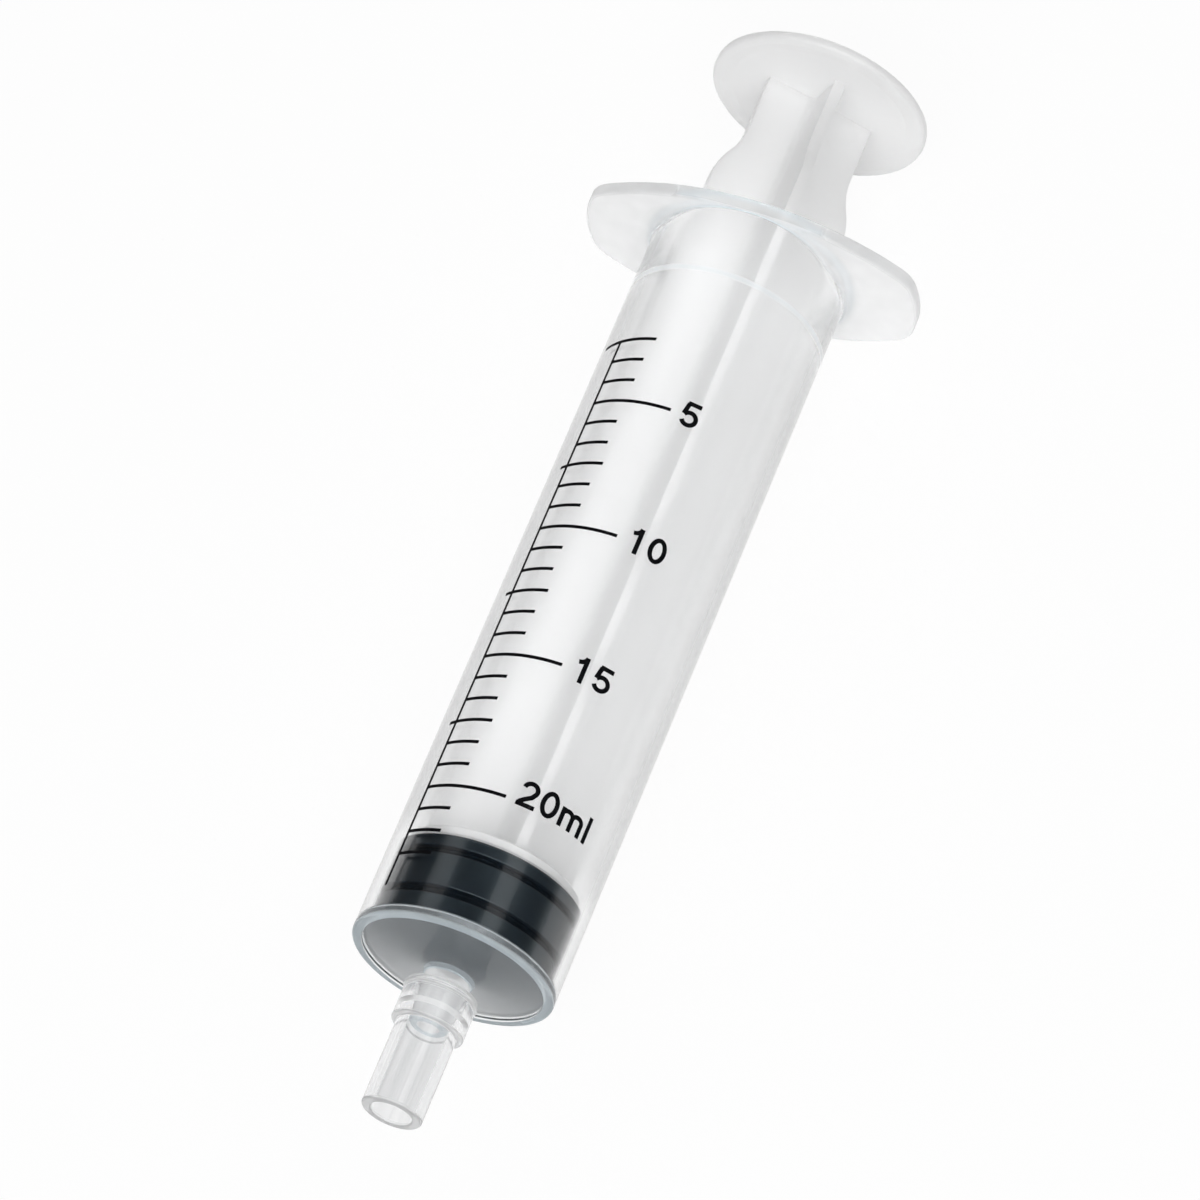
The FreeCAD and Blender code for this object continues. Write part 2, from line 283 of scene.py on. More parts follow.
def barrel_corners(turn):
    """Outline of the barrel at one angle: nozzle, end cone, tube, flange and bore."""
    rear = -BARREL_LENGTH
    front = rear + FLANGE_THICKNESS
    reach = flange_reach(turn)
    root = min(FLANGE_ROOT_R, FLANGE_ROOT_SHARE * (reach - BARREL_R))
    relief_x = rear + MOUTH_DEPTH
    return [
        (NOZZLE_TIP_X, NOZZLE_BORE_R, NOZZLE_BORE_ROUND),
        (NOZZLE_TIP_X, NOZZLE_TIP_R, NOZZLE_ROUND),
        (CONE_RISE, NOZZLE_BASE_R, NOZZLE_ROUND),
        (end_cone_x(LIP_R), LIP_R, LIP_ROUND),
        (0.0, LIP_R, LIP_ROUND),
        (0.0, BARREL_R, SHOULDER_ROUND),
        (front + FLANGE_ROOT_RUN * FLANGE_ROOT_R, BARREL_R, 0.0),
        (front, BARREL_R, root),
        (front, reach, FLANGE_EDGE_R),
        (rear, reach, FLANGE_EDGE_R),
        (rear, MOUTH_R, MOUTH_ROUND),
        (relief_x, MOUTH_R, MOUTH_STEP_ROUND),
        (relief_x + MOUTH_RAMP, BORE_R, MOUTH_STEP_ROUND),
        (end_inside_x(BORE_R), BORE_R, END_INSIDE_ROUND),
        (end_inside_x(NOZZLE_BORE_R), NOZZLE_BORE_R, END_INSIDE_ROUND),
    ]


# Stopper and tip adapter

def stopper_corners(turn):
    """Outline of the rubber piston: two grooves, a conical nose and the snap pocket."""
    rear, front = STOPPER_REAR_X, STOPPER_FRONT_X
    floor_r = STOPPER_R - GROOVE_DEPTH
    corners = [
        (rear, THROAT_R, INNER_ROUND),
        (rear, STOPPER_R, STOPPER_REAR_ROUND),
    ]
    for start, width in (
        (rear + REAR_BAND, REAR_GROOVE), (front - FRONT_BAND - FRONT_GROOVE, FRONT_GROOVE),
    ):
        corners += [
            (start, STOPPER_R, GROOVE_EDGE_ROUND),
            (start + GROOVE_SLOPE, floor_r, INNER_ROUND),
            (start + width - GROOVE_SLOPE, floor_r, INNER_ROUND),
            (start + width, STOPPER_R, GROOVE_EDGE_ROUND),
        ]
    return corners + [
        (front, STOPPER_R, STOPPER_NOSE_ROUND),
        (end_inside_x(0) - END_GAP, 0.0, 0.0),
        (rear + POCKET_END_LENGTH, 0.0, 0.0),
        (rear + POCKET_END_LENGTH, POCKET_END_R, INNER_ROUND),
        (rear + POCKET_LENGTH, POCKET_R, POCKET_ROUND),
        (rear + THROAT_LENGTH, POCKET_R, INNER_ROUND),
        (rear + THROAT_LENGTH, THROAT_R, INNER_ROUND),
    ]


def adapter_corners(turn):
    """Outline of the female hub: plain ring, body, outlet tube, bore and socket."""
    ring_end = ADAPTER_X + RING_THICKNESS
    groove_end = ring_end + RING_GROOVE_WIDTH
    body_end = ADAPTER_X + HUB_LENGTH
    socket_end = ADAPTER_X + SOCKET_DEPTH
    seat_start = socket_end + SOCKET_RAMP
    seat_end = NOZZLE_TIP_X + SEAT_CLEARANCE
    return [
        (ADAPTER_X, SOCKET_R, INNER_ROUND),
        (ADAPTER_X, RING_R, RING_ROUND),
        (ring_end, RING_R, RING_ROUND),
        (ring_end, RING_GROOVE_R, STEP_ROUND),
        (groove_end, RING_GROOVE_R, STEP_ROUND),
        (groove_end, HUB_R, INNER_ROUND),
        (body_end, HUB_R, HUB_ROUND),
        (body_end, TUBE_R, INNER_ROUND),
        (OUTLET_X, TUBE_R, OUTLET_ROUND),
        (OUTLET_X, OUTLET_R, OUTLET_BORE_ROUND),
        (seat_end, OUTLET_R, SEAT_ROUND),
        (seat_start, nozzle_r(seat_start) + SEAT_CLEARANCE, STEP_ROUND),
        (socket_end, SOCKET_R, STEP_ROUND),
    ]


# Printed scale

PRINT_FIRST_X = -71.5
PRINT_LINE_TURN = 136.5
PRINT_MINOR_TURN = 113.2
PRINT_MEDIUM_TURN = 110.6
PRINT_MAJOR_TURN = 86.2
PRINT_WRAP_TURN = 152.0
PRINT_TAIL_TURN = 142.5
PRINT_STROKE = 0.38
PRINT_AXIAL_STROKE = 0.36
PRINT_LOW_R = BARREL_R + 0.004
PRINT_HIGH_R = BARREL_R + 0.028
TICKS = 25
TICKS_PER_LABEL = 6
TICK_STEPS = 14
# The long line ends this many pitches past where one more tick would stand
LINE_END = 0.4
# Six marks stand for 5 ml
ML_PER_TICK = 5.0 / TICKS_PER_LABEL
PITCH = 1000.0 * ML_PER_TICK / (math.pi * BORE_R ** 2)
LABELS = {3: "5", 9: "10", 15: "15", 21: "20ml"}
DIGIT_HEIGHT = 3.02
DIGIT_STROKE = 0.5
DIGIT_GAP = 0.95
LABEL_SHIFT = 0.25
LAST_LABEL_SHIFT = 1.1


def strip(path, width, closed=False):
    """Left and right sides of a stroke of this width along a path."""
    sides = []
    n = len(path)
    for i, p in enumerate(path):
        before = path[i - 1] if closed or i > 0 else p
        after = path[(i + 1) % n] if closed or i < n - 1 else p
        way_in = Vector(p) - Vector(before)
        way_out = Vector(after) - Vector(p)
        way_in = way_in.normalized() if way_in.length > 0 else way_out.normalized()
        way_out = way_out.normalized() if way_out.length > 0 else way_in
        mean = (way_in + way_out).normalized()
        reach = width / 2 / max(0.5, mean.dot(way_out))
        across = Vector((-mean.y, mean.x)) * reach
        sides.append((Vector(p) + across, Vector(p) - across))
    return sides


def ink(strokes):
    """Closed thin solids on the tube for strokes, given as (path of (x, arc), width, closed),
    where arc is the way round the tube in millimetres from +Y."""
    verts, faces = [], []
    for path, width, closed in strokes:
        sides = strip(path, width, closed)
        base, n = len(verts), len(sides)
        for left, right in sides:
            for point in (left, right):
                for radius in (PRINT_LOW_R, PRINT_HIGH_R):
                    verts.append(place(point.x, radius, point.y / BARREL_R))
        for i in range(n if closed else n - 1):
            a, b = base + 4 * i, base + 4 * ((i + 1) % n)
            faces += [
                (a + 1, b + 1, b + 3, a + 3),
                (a, a + 2, b + 2, b),
                (a, b, b + 1, a + 1),
                (a + 2, a + 3, b + 3, b + 2),
            ]
        if not closed:
            a, b = base, base + 4 * (n - 1)
            faces += [(a, a + 1, a + 3, a + 2), (b, b + 2, b + 3, b + 1)]
    return verts, faces


def arc_path(centre, radii, start_deg, end_deg, steps):
    """Points of an elliptic arc, in letter units."""
    out = []
    for k in range(steps + 1):
        turn = math.radians(start_deg + (end_deg - start_deg) * k / steps)
        out.append((centre[0] + radii[0] * math.cos(turn), centre[1] + radii[1] * math.sin(turn)))
    return out


def glyph(letter):
    """Strokes of a letter in units of the digit's height, and its advance. Each path is the
    middle of its stroke; the letter stands on y = 0."""
    w = DIGIT_STROKE / DIGIT_HEIGHT
    h = w / 2
    if letter == "0":
        return [(arc_path((0.385, 0.5), (0.335 - h, 0.5 - h), 0, 360 * 23 / 24, 23), True)], 0.78
    if letter == "1":
        flag = [(0.17, 0.76), (0.29, 0.79), (0.39, 0.86), (0.44, 0.99)]
        return [([(0.44, 0.0), (0.44, 1.0)], False), (flag, False)], 0.78
    if letter == "2":
        top = arc_path((0.385, 0.69), (0.32 - h, 0.31 - h), 172, -30, 12)
        tail = [(0.5, 0.43), (0.3, 0.29), (0.16, 0.17), (0.12, h)]
        return [(top + tail, False), ([(0.04, h), (0.71, h)], False)], 0.78
    if letter == "5":
        bowl = arc_path((0.38, 0.33), (0.335 - h, 0.33 - h), 148, -158, 18)
        stem = [(0.22, 1.0 - h), (0.14, 0.47)]
        return [(bowl, False), (stem, False), ([(0.17, 1.0 - h), (0.67, 1.0 - h)], False)], 0.78
    if letter == "m":
        strokes = [([(0.13, 0.0), (0.13, 0.73)], False)]
        for x in (0.13, 0.54):
            arch = arc_path((x + 0.205, 0.5), (0.205, 0.24 - h), 168, 0, 9)
            strokes.append((arch + [(x + 0.41, 0.3), (x + 0.41, 0.0)], False))
        return strokes, 1.12
    return [([(0.15, 0.0), (0.15, 1.0)], False)], 0.3


def scale_strokes():
    """Every stroke of the printed scale: the long line, the ticks and the numbers."""
    arc = math.radians(1) * BARREL_R
    line = PRINT_LINE_TURN * arc
    last_x = PRINT_FIRST_X + (TICKS + LINE_END) * PITCH
    strokes = [([(PRINT_FIRST_X, line), (last_x, line)], PRINT_AXIAL_STROKE, False)]
    for i in range(TICKS):
        x = PRINT_FIRST_X + i * PITCH
        left, right = PRINT_LINE_TURN, PRINT_MINOR_TURN
        if i % TICKS_PER_LABEL == 0 and i < TICKS - 1:
            left, right = PRINT_WRAP_TURN if i == 0 else PRINT_TAIL_TURN, PRINT_MEDIUM_TURN
        if i in LABELS:
            right = PRINT_MAJOR_TURN
        path = [
            (x, (left + (right - left) * k / TICK_STEPS) * arc)
            for k in range(TICK_STEPS + 1)
        ]
        strokes.append((path, PRINT_STROKE, False))
        if i in LABELS:
            pen = right * arc - DIGIT_GAP
            middle = x - (LAST_LABEL_SHIFT if i == max(LABELS) else LABEL_SHIFT)
            for letter in LABELS[i]:
                paths, advance = glyph(letter)
                for points, closed in paths:
                    bent = [
                        (middle + (0.5 - q) * DIGIT_HEIGHT, pen - p * DIGIT_HEIGHT)
                        for p, q in points
                    ]
                    strokes.append((bent, DIGIT_STROKE, closed))
                pen -= advance * DIGIT_HEIGHT
    return strokes


# Materials

FROST_COLOUR = (0.91, 0.912, 0.915)
# Colour of the frost on the faces towards the outlet: a painted bluish sheen that stands in for the
# stopper's bluish sheen showing through the end wall
END_FROST_PAINTED_SHEEN = (0.78, 0.875, 0.93)
CONE_FROST = 0.1
RIM_FROST = 0.6
FLANGE_FROST = 0.4
NOZZLE_FROST = 0.45
ADAPTER_FROST = 0.06
EDGE_FROST = 0.75
BORE_ROUGHNESS = 0.2
BORE_END_ROUGHNESS = 0.06
OUTSIDE_ROUGHNESS = 0.05
GROOVE_GLOSS = 0.03
BAND_GLOSS = 0.5
TURNED_GLOSS_SHARE = 0.15
# How far the rubber faces away where its gloss starts to fade and where it has faded
TURNED_FROM, TURNED_TO = 0.38, 0.6
# Radii in millimetres between which one look gives way to the next
RIM_FROST_FROM, RIM_FROST_TO = 9.8, 9.95
FLANGE_FROST_FROM, FLANGE_FROST_TO = 11.05, 11.3
EDGE_FROST_FROM, EDGE_FROST_TO = 12.8, 13.2
NOZZLE_FROST_FROM, NOZZLE_FROST_TO = 2.6, 2.8
BORE_DULL_FROM, BORE_DULL_TO = 10.3, 10.6
GROOVE_DULL_FROM, GROOVE_DULL_TO = 9.3, 9.75
# Stations between which the bore turns from dull to smooth
BORE_SMOOTH_FROM_X, BORE_SMOOTH_TO_X = -14.0, -10.0


def new_material(name):
    mat = bpy.data.materials.new(name)
    mat.use_nodes = True
    mat.node_tree.nodes.clear()
    return mat, mat.node_tree


def add(tree, kind, **values):
    """A node with its input sockets set by name."""
    node = tree.nodes.new(kind)
    for key, value in values.items():
        node.inputs[key.replace("_", " ")].default_value = value
    return node


def noise(tree, scale, detail=3.0, stretch=(1.0, 1.0, 1.0)):
    """A noise texture on the object's own coordinates."""
    coords = tree.nodes.new("ShaderNodeTexCoord")
    mapping = tree.nodes.new("ShaderNodeMapping")
    mapping.inputs["Scale"].default_value = stretch
    texture = add(tree, "ShaderNodeTexNoise", Scale=scale, Detail=detail)
    tree.links.new(coords.outputs["Object"], mapping.inputs["Vector"])
    tree.links.new(mapping.outputs["Vector"], texture.inputs["Vector"])
    return texture.outputs["Fac"]


def ranged(tree, source, low, high, from_low=0.35, from_high=0.65):
    """The source spread over a new range."""
    node = tree.nodes.new("ShaderNodeMapRange")
    for key, value in (
        ("From Min", from_low), ("From Max", from_high), ("To Min", low), ("To Max", high),
    ):
        node.inputs[key].default_value = value
    tree.links.new(source, node.inputs["Value"])
    return node.outputs["Result"]


def toned(tree, source, low, high, from_low=0.35, from_high=0.65):
    """Two colours mixed by the source."""
    mix = tree.nodes.new("ShaderNodeMix")
    mix.data_type = "RGBA"
    mix.inputs["A"].default_value = (*low, 1.0)
    mix.inputs["B"].default_value = (*high, 1.0)
    share = ranged(tree, source, 0.0, 1.0, from_low, from_high)
    tree.links.new(share, mix.inputs["Factor"])
    return mix.outputs["Result"]


def bump(tree, source, strength, distance):
    node = add(tree, "ShaderNodeBump", Strength=strength, Distance=distance)
    tree.links.new(source, node.inputs["Height"])
    return node.outputs["Normal"]


def output(tree, surface):
    out = tree.nodes.new("ShaderNodeOutputMaterial")
    tree.links.new(surface, out.inputs["Surface"])


def lamp_lets_through(tree, surface, tint):
    """Lamps shine through the plastic as through thin clear plastic."""
    path = tree.nodes.new("ShaderNodeLightPath")
    clear = add(tree, "ShaderNodeBsdfTransparent", Color=(*tint, 1.0))
    mix = tree.nodes.new("ShaderNodeMixShader")
    tree.links.new(path.outputs["Is Shadow Ray"], mix.inputs["Fac"])
    tree.links.new(surface, mix.inputs[1])
    tree.links.new(clear.outputs[0], mix.inputs[2])
    return mix.outputs[0]


def math_node(tree, operation, a, b=0.0):
    """The sum, product or such of two sources, either of which may be a plain number."""
    node = tree.nodes.new("ShaderNodeMath")
    node.operation = operation
    for socket, value in zip(node.inputs, (a, b)):
        if isinstance(value, float):
            socket.default_value = value
        else:
            tree.links.new(value, socket)
    return node.outputs[0]


def parts_of(tree, name):
    """The X, Y and Z of the object's own coordinates or of its surface's direction."""
    coords = tree.nodes.new("ShaderNodeTexCoord")
    split = tree.nodes.new("ShaderNodeSeparateXYZ")
    tree.links.new(coords.outputs[name], split.inputs[0])
    return split


def axis_distance(tree):
    """How far a point of the surface is from the bore's axis, in metres."""
    split = parts_of(tree, "Object")
    across = split.outputs["Y"]
    up = math_node(tree, "SUBTRACT", split.outputs["Z"], AXIS_Z * MM)
    squares = math_node(
        tree, "ADD",
        math_node(tree, "MULTIPLY", across, across), math_node(tree, "MULTIPLY", up, up),
    )
    return math_node(tree, "SQRT", squares)


def frosted(tree, clear, frost, colour=None):
    """Clear plastic with this share of its light scattered, to both sides alike."""
    back = add(tree, "ShaderNodeBsdfDiffuse", Color=(*FROST_COLOUR, 1.0))
    through = add(tree, "ShaderNodeBsdfTranslucent", Color=(*FROST_COLOUR, 1.0))
    if colour is not None:
        tree.links.new(colour, back.inputs["Color"])
        tree.links.new(colour, through.inputs["Color"])
    both = tree.nodes.new("ShaderNodeMixShader")
    tree.links.new(back.outputs[0], both.inputs[1])
    tree.links.new(through.outputs[0], both.inputs[2])
    mix = tree.nodes.new("ShaderNodeMixShader")
    tree.links.new(frost, mix.inputs["Fac"])
    tree.links.new(clear, mix.inputs[1])
    tree.links.new(both.outputs[0], mix.inputs[2])
    return mix.outputs[0]


def off_face_share(tree, size):
    """None on faces across the bore and one elsewhere, from the size of the normal's X."""
    return ranged(tree, size, 1.0, 0.0, 0.88, 0.98)


def edge_share(tree, normal_x):
    """One on the rounded edges between faces across the bore and faces along it, else none."""
    size = math_node(tree, "ABSOLUTE", normal_x)
    off_side = ranged(tree, size, 0.0, 1.0, 0.1, 0.35)
    return math_node(tree, "MULTIPLY", off_side, off_face_share(tree, size))


def barrel_plastic():
    """Clear polypropylene with a polished outside, a duller bore, faint flow lines, and fine
    frost on the flange and on the faces towards the outlet."""
    mat, tree = new_material("barrel_clear")
    flow = noise(tree, 90.0, 4.0, (0.12, 1.0, 1.0))
    haze = noise(tree, 160.0, 2.0)
    place_in = parts_of(tree, "Object")
    faces = parts_of(tree, "Normal")
    radius = axis_distance(tree)
    forward = ranged(tree, faces.outputs["X"], 0.0, 1.0, 0.05, 0.6)
    end_frost = ranged(tree, radius, CONE_FROST, RIM_FROST, RIM_FROST_FROM * MM, RIM_FROST_TO * MM)
    on_flange = ranged(tree, radius, 0.0, 1.0, FLANGE_FROST_FROM * MM, FLANGE_FROST_TO * MM)
    off_root = ranged(tree, radius, 0.0, 1.0, EDGE_FROST_FROM * MM, EDGE_FROST_TO * MM)
    off_face = off_face_share(tree, math_node(tree, "ABSOLUTE", faces.outputs["X"]))
    edges = math_node(tree, "MULTIPLY", off_face, off_root)
    flange_frost = math_node(
        tree, "MAXIMUM",
        math_node(tree, "MULTIPLY", on_flange, FLANGE_FROST),
        math_node(tree, "MULTIPLY", edges, EDGE_FROST),
    )
    nozzle_frost = ranged(
        tree, radius, NOZZLE_FROST, 0.0, NOZZLE_FROST_FROM * MM, NOZZLE_FROST_TO * MM,
    )
    most = math_node(tree, "MULTIPLY", forward, end_frost)
    most = math_node(tree, "MAXIMUM", most, flange_frost)
    most = math_node(tree, "MAXIMUM", most, nozzle_frost)
    uneven = ranged(tree, haze, 0.85, 1.15, 0.2, 0.8)
    frost = math_node(tree, "MULTIPLY", most, uneven)
    bore = ranged(
        tree, place_in.outputs["X"], BORE_ROUGHNESS, BORE_END_ROUGHNESS,
        (SHOULDER_X + BORE_SMOOTH_FROM_X) * MM, (SHOULDER_X + BORE_SMOOTH_TO_X) * MM,
    )
    in_bore = ranged(tree, radius, 1.0, 0.0, BORE_DULL_FROM * MM, BORE_DULL_TO * MM)
    dull = math_node(
        tree, "ADD", math_node(tree, "MULTIPLY", in_bore, bore), OUTSIDE_ROUGHNESS,
    )
    rough = math_node(tree, "MULTIPLY", dull, ranged(tree, haze, 0.9, 1.1, 0.2, 0.8))
    rough = math_node(tree, "ADD", rough, math_node(tree, "MULTIPLY", frost, 0.25))
    shader = add(
        tree, "ShaderNodeBsdfPrincipled", IOR=1.45, Transmission_Weight=1.0,
        Specular_Tint=(0.5, 0.5, 0.5, 1.0),
    )
    tree.links.new(
        toned(tree, flow, (0.932, 0.935, 0.937), (0.944, 0.946, 0.948)), shader.inputs["Base Color"]
    )
    tree.links.new(rough, shader.inputs["Roughness"])
    tree.links.new(bump(tree, flow, 0.006, 0.0003), shader.inputs["Normal"])
    # Faces towards the outlet, off the flange, get a painted bluish tint in their frost, standing
    # in for the stopper's sheen seen through the end wall
    painted_sheen_share = math_node(tree, "MULTIPLY", forward, ranged(tree, on_flange, 1.0, 0.0, 0.0, 1.0))
    colour = toned(tree, painted_sheen_share, FROST_COLOUR, END_FROST_PAINTED_SHEEN, 0.0, 1.0)
    body = frosted(tree, shader.outputs[0], frost, colour)
    output(tree, lamp_lets_through(tree, body, (0.94, 0.94, 0.94)))
    return mat


def adapter_plastic():
    """Clear plastic with drawn-out flow lines along the bore and a little haze."""
    mat, tree = new_material("adapter_clear")
    flow = noise(tree, 1400.0, 2.0, (0.02, 1.0, 1.0))
    haze = noise(tree, 400.0, 3.0, (0.3, 1.0, 1.0))
    shader = add(tree, "ShaderNodeBsdfPrincipled", IOR=1.47, Transmission_Weight=1.0)
    tree.links.new(
        toned(tree, flow, (0.86, 0.865, 0.87), (0.96, 0.962, 0.965)), shader.inputs["Base Color"]
    )
    tree.links.new(ranged(tree, haze, 0.01, 0.05), shader.inputs["Roughness"])
    tree.links.new(bump(tree, flow, 0.1, 0.0002), shader.inputs["Normal"])
    faces = parts_of(tree, "Normal")
    forward = ranged(tree, faces.outputs["X"], 0.0, 0.5, 0.6, 0.95)
    edges = math_node(tree, "MULTIPLY", edge_share(tree, faces.outputs["X"]), 0.55)
    haze_frost = ranged(tree, haze, 0.75 * ADAPTER_FROST, 1.25 * ADAPTER_FROST)
    frost = math_node(tree, "MAXIMUM", math_node(tree, "MAXIMUM", forward, edges), haze_frost)
    body = frosted(tree, shader.outputs[0], frost)
    output(tree, lamp_lets_through(tree, body, (0.95, 0.95, 0.95)))
    return mat


def milky_plastic():
    """Milky translucent plastic: light enters it, and its gloss is soft."""
    mat, tree = new_material("rod_milky")
    cloud = noise(tree, 120.0, 3.0, (0.3, 1.0, 1.0))
    grain = noise(tree, 900.0, 2.0)
    shader = add(
        tree, "ShaderNodeBsdfPrincipled", IOR=1.49, Subsurface_Weight=0.7,
        Subsurface_Radius=(0.004, 0.004, 0.004), Subsurface_Scale=1.0,
        Transmission_Weight=0.18,
    )
    tree.links.new(
        toned(tree, cloud, (0.965, 0.967, 0.97), (0.98, 0.981, 0.983)),
        shader.inputs["Base Color"],
    )
    tree.links.new(ranged(tree, cloud, 0.32, 0.42), shader.inputs["Roughness"])
    tree.links.new(bump(tree, grain, 0.08, 0.0001), shader.inputs["Normal"])
    output(tree, lamp_lets_through(tree, shader.outputs[0], (0.35, 0.35, 0.35)))
    return mat


def black_rubber():
    """Near-black moulded rubber: the bands that rub on the bore have a bluish satin sheen that
    fades where they turn away, and the grooves between them are dull."""
    mat, tree = new_material("stopper_rubber")
    grain = noise(tree, 1500.0, 4.0)
    bloom = noise(tree, 220.0, 3.0, (0.5, 1.0, 1.0))
    bands = ranged(
        tree, axis_distance(tree), GROOVE_GLOSS, BAND_GLOSS,
        GROOVE_DULL_FROM * MM, GROOVE_DULL_TO * MM,
    )
    away = add(tree, "ShaderNodeLayerWeight", Blend=0.5)
    fade = ranged(
        tree, away.outputs["Facing"], 1.0, TURNED_GLOSS_SHARE, TURNED_FROM, TURNED_TO,
    )
    gloss = math_node(tree, "MULTIPLY", bands, fade)
    shader = add(
        tree, "ShaderNodeBsdfPrincipled", IOR=1.65, Specular_Tint=(0.78, 0.93, 1.0, 1.0),
    )
    tree.links.new(
        toned(tree, bloom, (0.0015, 0.004, 0.007), (0.003, 0.0065, 0.0105)),
        shader.inputs["Base Color"],
    )
    tree.links.new(gloss, shader.inputs["Specular IOR Level"])
    tree.links.new(ranged(tree, bloom, 0.28, 0.35), shader.inputs["Roughness"])
    tree.links.new(bump(tree, grain, 0.15, 0.00008), shader.inputs["Normal"])
    output(tree, shader.outputs[0])
    return mat


def black_ink():
    """Pad-printed ink: nearly black, a little uneven in tone and gloss."""
    mat, tree = new_material("scale_ink")
    speckle = noise(tree, 2500.0, 3.0)
    shader = add(tree, "ShaderNodeBsdfPrincipled", IOR=1.1)
    tree.links.new(
        toned(tree, speckle, (0.002, 0.002, 0.003), (0.008, 0.008, 0.009)),
        shader.inputs["Base Color"],
    )
    tree.links.new(ranged(tree, speckle, 0.6, 0.8), shader.inputs["Roughness"])
    output(tree, shader.outputs[0])
    return mat


def dress(piece, mat):
    piece.data.materials.clear()
    piece.data.materials.append(mat)


# Pieces

barrel = turned("barrel_shell", barrel_corners, BARREL_SEGMENTS)
stopper = turned("stopper_rubber", stopper_corners, STOPPER_SEGMENTS)
adapter = turned("adapter_hub", adapter_corners, ADAPTER_SEGMENTS)
ink_verts, ink_faces = ink(scale_strokes())
scale = finished("scale_print", ink_verts, ink_faces)
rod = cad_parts["plunger_rod"]

for piece, body, node, slot in (
    (barrel, "barrel_body", "barrel", "barrel_clear"),
    (stopper, "stopper_body", "stopper", "stopper_rubber"),
    (adapter, "adapter_body", "tip_adapter", "adapter_clear"),
):
    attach(piece, body)
    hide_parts(node)
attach(scale, "barrel_body")

dress(barrel, barrel_plastic())
dress(adapter, adapter_plastic())
dress(stopper, black_rubber())
dress(scale, black_ink())
dress(rod, milky_plastic())


# Stage

WORLD_LEVEL = 0.06
FLOOR_REACH = 9.0
FLOOR_WHITE_SHARE = 0.93
STRIP_LENGTH = 0.9
STRIP_X = -0.2
STRIP_AWAY = 0.55
BOX_AWAY = 0.9
BOX_SIZE = 0.9
# Each strip's way round from +Y and its width, both in degrees, and its level
LEFT_STRIP = (129.0, 24.0, 0.7)
RIGHT_STRIP = (58.0, 22.0, 1.0)
# Each box's way round from the outlet's side and its rise, both in degrees, and its level
FRONT_BOX = (9.0, 48.0, 2.9)
REAR_BOX = (180.0, 22.0, 1.0)


def white_where_seen(tree, dull, white_share):
    """Seen directly, in a reflection or through clear plastic, most of this is plain white.
    The rest is lit, so that it keeps the object's shadow."""
    path = tree.nodes.new("ShaderNodeLightPath")
    seen = path.outputs["Is Camera Ray"]
    for name in ("Is Glossy Ray", "Is Transmission Ray"):
        seen = math_node(tree, "MAXIMUM", seen, path.outputs[name])
    share = math_node(tree, "MULTIPLY", seen, white_share)
    white = tree.nodes.new("ShaderNodeEmission")
    mix = tree.nodes.new("ShaderNodeMixShader")
    tree.links.new(share, mix.inputs["Fac"])
    tree.links.new(dull, mix.inputs[1])
    tree.links.new(white.outputs[0], mix.inputs[2])
    return mix.outputs[0]


def make_floor():
    verts = [
        (FLOOR_REACH * side, FLOOR_REACH * end, 0.0)
        for side, end in ((-1, -1), (1, -1), (1, 1), (-1, 1))
    ]
    floor = finished("floor", verts, [(0, 1, 2, 3)])
    mat, tree = new_material("floor_white")
    paper = noise(tree, 40.0, 2.0)
    shader = add(tree, "ShaderNodeBsdfDiffuse")
    tree.links.new(
        toned(tree, paper, (0.93, 0.93, 0.93), (0.95, 0.95, 0.95)), shader.inputs["Color"]
    )
    output(tree, white_where_seen(tree, shader.outputs[0], FLOOR_WHITE_SHARE))
    dress(floor, mat)


def make_world():
    world = bpy.data.worlds.new("studio")
    bpy.context.scene.world = world
    world.use_nodes = True
    tree = world.node_tree
    tree.nodes.clear()
    dim = add(tree, "ShaderNodeBackground", Color=(1, 1, 1, 1), Strength=WORLD_LEVEL)
    out = tree.nodes.new("ShaderNodeOutputWorld")
    tree.links.new(dim.outputs[0], out.inputs["Surface"])


def soft_box(name, centre, along, back, size, level):
    """A rectangular lamp that shines away from back, as bright as level times white."""
    data = bpy.data.lights.new(name, "AREA")
    data.shape = "RECTANGLE"
    data.size, data.size_y = size
    data.energy = level * math.pi * size[0] * size[1]
    lamp = bpy.data.objects.new(name, data)
    bpy.context.scene.collection.objects.link(lamp)
    turn = Matrix((along, back.cross(along), back)).transposed().to_4x4()
    lamp.matrix_world = Matrix.Translation(centre) @ turn


def strip_lamp(name, turn_deg, width_deg, level):
    """A long soft box beside the tube, this far round it from +Y."""
    turn = math.radians(turn_deg)
    back = Vector((0.0, math.cos(turn), math.sin(turn)))
    width = 2 * STRIP_AWAY * math.tan(math.radians(width_deg / 2))
    centre = Vector((STRIP_X, 0.0, AXIS_Z * MM)) + back * STRIP_AWAY
    soft_box(name, centre, Vector((1.0, 0.0, 0.0)), back, (STRIP_LENGTH, width), level)


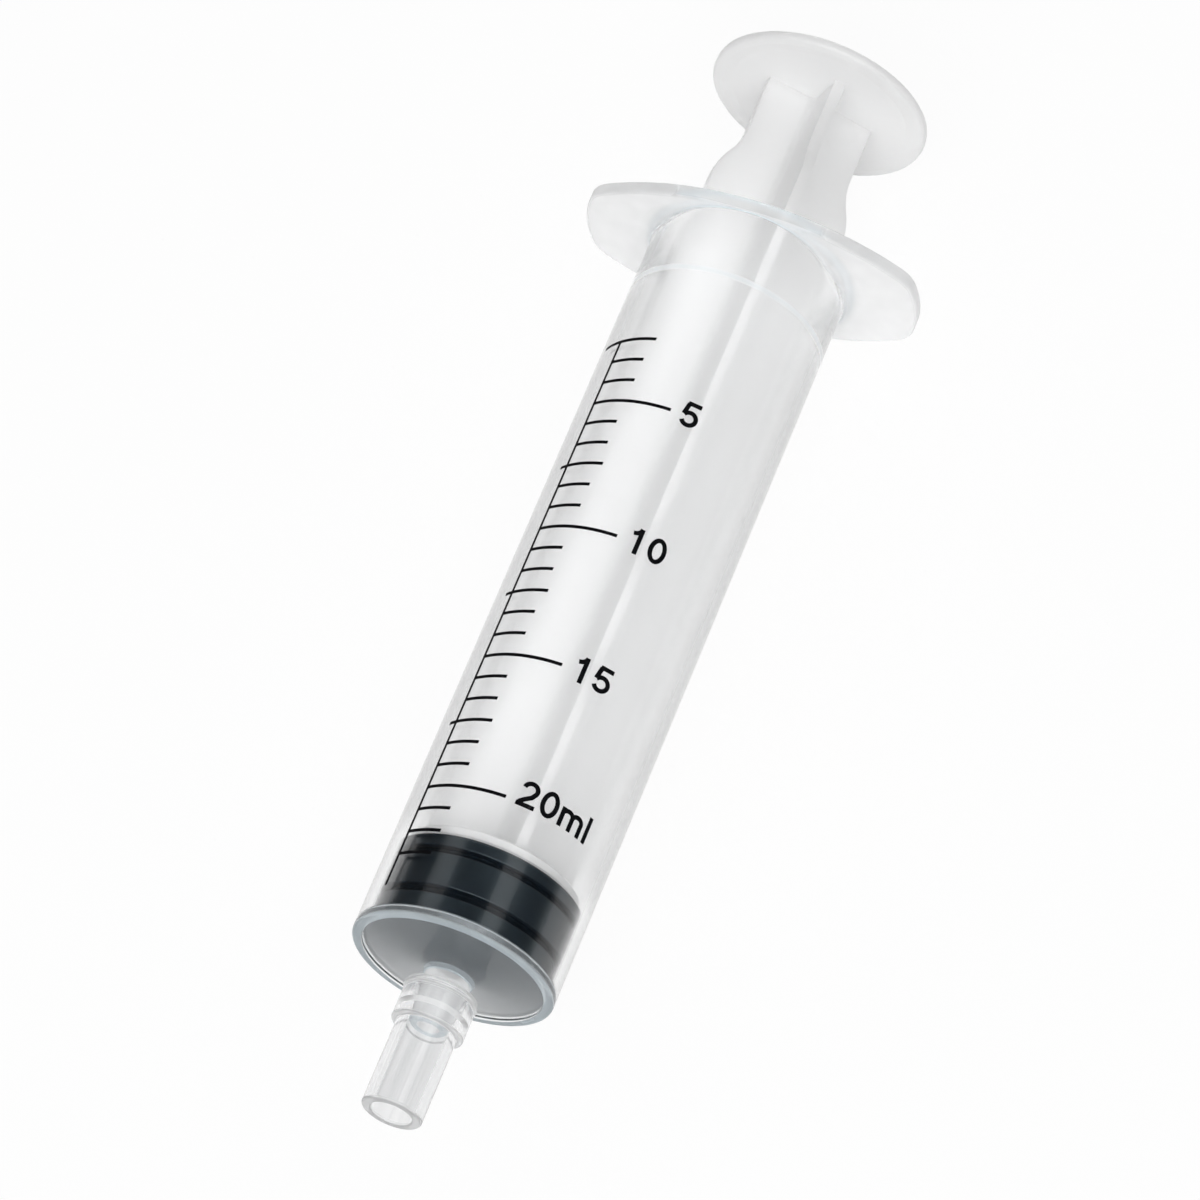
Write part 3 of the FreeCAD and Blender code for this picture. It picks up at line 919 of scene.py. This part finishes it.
def box_lamp(name, turn_deg, rise_deg, level):
    """A square soft box this far round from the outlet's side and this high, where the tube
    doesn't mirror it into the camera."""
    turn, rise = math.radians(turn_deg), math.radians(rise_deg)
    ahead = Vector((math.cos(turn), math.sin(turn), 0.0))
    across = Vector((-math.sin(turn), math.cos(turn), 0.0))
    back = ahead * math.cos(rise) + Vector((0.0, 0.0, math.sin(rise)))
    soft_box(name, back * BOX_AWAY, across, back, (BOX_SIZE, BOX_SIZE), level)


make_floor()
make_world()
strip_lamp("left_strip", *LEFT_STRIP)
strip_lamp("right_strip", *RIGHT_STRIP)
box_lamp("front_box", *FRONT_BOX)
box_lamp("rear_box", *REAR_BOX)


# Camera, fitted to the photo, from about 0.66 m away. Angles are in radians, and its place
# is in millimetres from the shoulder plane's middle.

LENS = 195.0
SENSOR_WIDTH = 36.0
ROLL = 0.40230
TILT = 0.46576
SPIN = math.radians(13.5)
CAMERA_ALONG, CAMERA_ACROSS, CAMERA_UP = 259.73, -0.889, 606.78


def to_row(vector):
    """From (along, across, up) about the fitted axis to the row frame's directions."""
    along, across, up = vector
    return Vector((
        along,
        math.cos(SPIN) * across + math.sin(SPIN) * up,
        -math.sin(SPIN) * across + math.cos(SPIN) * up,
    ))


def make_camera():
    data = bpy.data.cameras.new("camera")
    data.sensor_width = SENSOR_WIDTH
    data.lens = LENS
    data.clip_start, data.clip_end = 0.01, 20.0
    camera = bpy.data.objects.new("camera", data)
    bpy.context.scene.collection.objects.link(camera)
    right = to_row((-math.sin(ROLL) * math.cos(TILT), math.cos(ROLL),
                    math.sin(ROLL) * math.sin(TILT)))
    up = to_row((-math.cos(ROLL) * math.cos(TILT), -math.sin(ROLL),
                 math.cos(ROLL) * math.sin(TILT)))
    back = to_row((math.sin(TILT), 0.0, math.cos(TILT)))
    at = to_row((CAMERA_ALONG, CAMERA_ACROSS, CAMERA_UP)) + Vector((SHOULDER_X, 0.0, AXIS_Z))
    turn = Matrix((right, up, back)).transposed().to_4x4()
    camera.matrix_world = Matrix.Translation(at * MM) @ turn
    bpy.context.scene.camera = camera


make_camera()
bpy.context.scene.view_settings.view_transform = "Standard"
